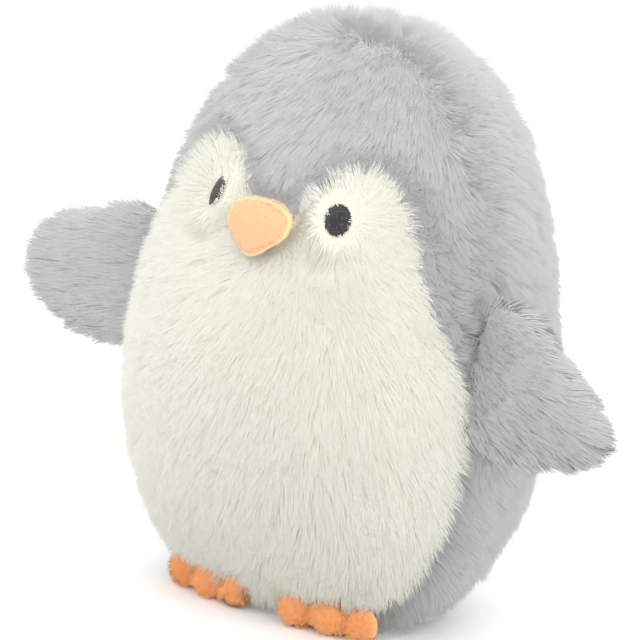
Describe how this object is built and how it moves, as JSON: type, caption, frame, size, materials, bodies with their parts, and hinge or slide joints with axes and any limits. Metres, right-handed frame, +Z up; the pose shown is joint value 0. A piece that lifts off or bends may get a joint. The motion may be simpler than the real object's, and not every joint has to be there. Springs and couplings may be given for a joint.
{
  "type": "plush penguin",
  "caption": "Stuffed toy penguin with long grey and cream pile, padded beak, embroidered eyes, wings that swing at the side seams and soft toed feet.",
  "frame": {"origin": "on the flat underside, on the middle plane, below the crown of the head", "axes": "+Z up, the penguin faces -Y, +X towards its left wing"},
  "size_m": [0.34, 0.202, 0.28],
  "materials": {
    "grey_plush": "long soft pile, light grey",
    "cream_plush": "long soft pile, warm white",
    "peach_plush": "short velvety pile, light peach",
    "orange_plush": "short curly pile, soft orange",
    "dark_thread": "embroidery thread, near black",
    "fibre_filling": "loose polyester fibre"
  },
  "bodies": {
    "body": {"belly_panel": "cream_plush", "crown_panel": "grey_plush", "back_panel_left": "grey_plush", "back_panel_right": "grey_plush", "base_panel": "grey_plush", "body_filling": "fibre_filling", "beak_cover": "peach_plush", "beak_filling": "fibre_filling", "eye_left": "dark_thread", "eye_right": "dark_thread"},
    "wing_left": {"wing_left_front": "grey_plush", "wing_left_back": "grey_plush", "wing_left_filling": "fibre_filling"},
    "wing_right": {"wing_right_front": "grey_plush", "wing_right_back": "grey_plush", "wing_right_filling": "fibre_filling"},
    "foot_left": {"foot_left_cover": "orange_plush", "foot_left_sole": "orange_plush", "foot_left_filling": "fibre_filling"},
    "foot_right": {"foot_right_cover": "orange_plush", "foot_right_sole": "orange_plush", "foot_right_filling": "fibre_filling"}
  },
  "joints": [
    {"name": "wing_left_swing", "type": "hinge", "parent": "body", "child": "wing_left", "pos_m": [0.09361, -0.01613, 0.13678], "axis": [0.11, -0.0384, -0.9932], "range_deg": [-30, 50], "stiffness_Nm_per_rad": 0.03},
    {"name": "wing_right_swing", "type": "hinge", "parent": "body", "child": "wing_right", "pos_m": [-0.09361, -0.01613, 0.13678], "axis": [0.11, 0.0384, 0.9932], "range_deg": [-30, 50], "stiffness_Nm_per_rad": 0.03},
    {"name": "foot_left_tilt", "type": "hinge", "parent": "body", "child": "foot_left", "pos_m": [0.03232, -0.02362, 0.002], "axis": [-0.9703, -0.2419, 0], "range_deg": [-20, 6], "stiffness_Nm_per_rad": 0.05},
    {"name": "foot_right_tilt", "type": "hinge", "parent": "body", "child": "foot_right", "pos_m": [-0.03232, -0.02362, 0.002], "axis": [-0.9703, 0.2419, 0], "range_deg": [-20, 6], "stiffness_Nm_per_rad": 0.05}
  ]
}
